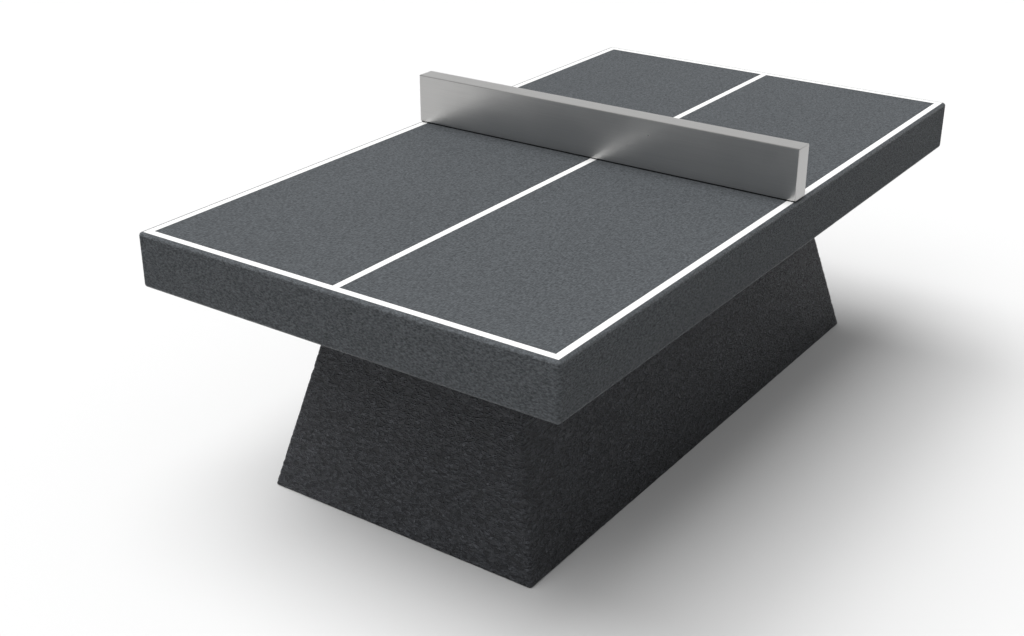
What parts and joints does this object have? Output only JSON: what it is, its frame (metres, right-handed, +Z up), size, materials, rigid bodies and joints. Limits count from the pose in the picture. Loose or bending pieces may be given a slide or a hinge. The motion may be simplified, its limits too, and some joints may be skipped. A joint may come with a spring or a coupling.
{
  "type": "ping pong table",
  "caption": "Outdoor ping pong table: thick dark concrete slab with white inlaid lines and a brushed steel box net, on a hollow flared concrete pedestal.",
  "frame": {"origin": "on the floor under the middle of the table's bounding box", "axes": "+X along the table's length, away from the near end; +Y across it, towards the left side line; +Z up"},
  "size_m": [2.74, 1.525, 1.103],
  "materials": {
    "slab_concrete": "fine woven-textured charcoal cast concrete, matt",
    "pedestal_concrete": "near-black cast concrete with a wrinkled stone relief, low sheen",
    "line_inlay": "smooth white inlay, ground flush",
    "stainless_steel": "satin stainless sheet, brushed upright",
    "zinc_steel": "zinc-plated steel",
    "rebar_steel": "bare mill steel with light rust",
    "black_rubber": "black rubber, matt",
    "grey_plastic": "dark grey moulded plastic"
  },
  "bodies": {
    "root": {"top_slab": "slab_concrete", "end_line_near": "line_inlay", "end_line_far": "line_inlay", "side_line_right": "line_inlay", "side_line_left": "line_inlay", "centre_line": "line_inlay", "slab_reinforcement": "rebar_steel", "pedestal_reinforcement": "rebar_steel", "lifting_socket_1": "zinc_steel", "lifting_socket_2": "zinc_steel", "lifting_socket_3": "zinc_steel", "lifting_socket_4": "zinc_steel", "dowel_socket_1": "zinc_steel", "dowel_socket_2": "zinc_steel", "dowel_socket_3": "zinc_steel", "dowel_socket_4": "zinc_steel", "dowel_pin_1": "zinc_steel", "dowel_pin_2": "zinc_steel", "dowel_pin_3": "zinc_steel", "dowel_pin_4": "zinc_steel", "lifting_plug_1": "grey_plastic", "lifting_plug_2": "grey_plastic", "lifting_plug_3": "grey_plastic", "lifting_plug_4": "grey_plastic", "dowel_cap_1": "grey_plastic", "dowel_cap_2": "grey_plastic", "dowel_cap_3": "grey_plastic", "dowel_cap_4": "grey_plastic", "bolt_sleeve_1": "grey_plastic", "bolt_sleeve_2": "grey_plastic", "bolt_sleeve_3": "grey_plastic", "bolt_sleeve_4": "grey_plastic", "net_shell": "stainless_steel", "net_end_plate_left": "stainless_steel", "net_end_plate_right": "stainless_steel", "net_base_plate": "zinc_steel", "net_bolt_1": "zinc_steel", "net_bolt_2": "zinc_steel", "net_bolt_3": "zinc_steel", "net_bolt_4": "zinc_steel", "net_washer_1": "zinc_steel", "net_washer_2": "zinc_steel", "net_washer_3": "zinc_steel", "net_washer_4": "zinc_steel", "net_nut_1": "zinc_steel", "net_nut_2": "zinc_steel", "net_nut_3": "zinc_steel", "net_nut_4": "zinc_steel", "net_gasket": "black_rubber", "bearing_strip_left": "black_rubber", "bearing_strip_right": "black_rubber", "bearing_strip_near": "black_rubber", "bearing_strip_far": "black_rubber", "pedestal": "pedestal_concrete"}
  },
  "joints": []
}
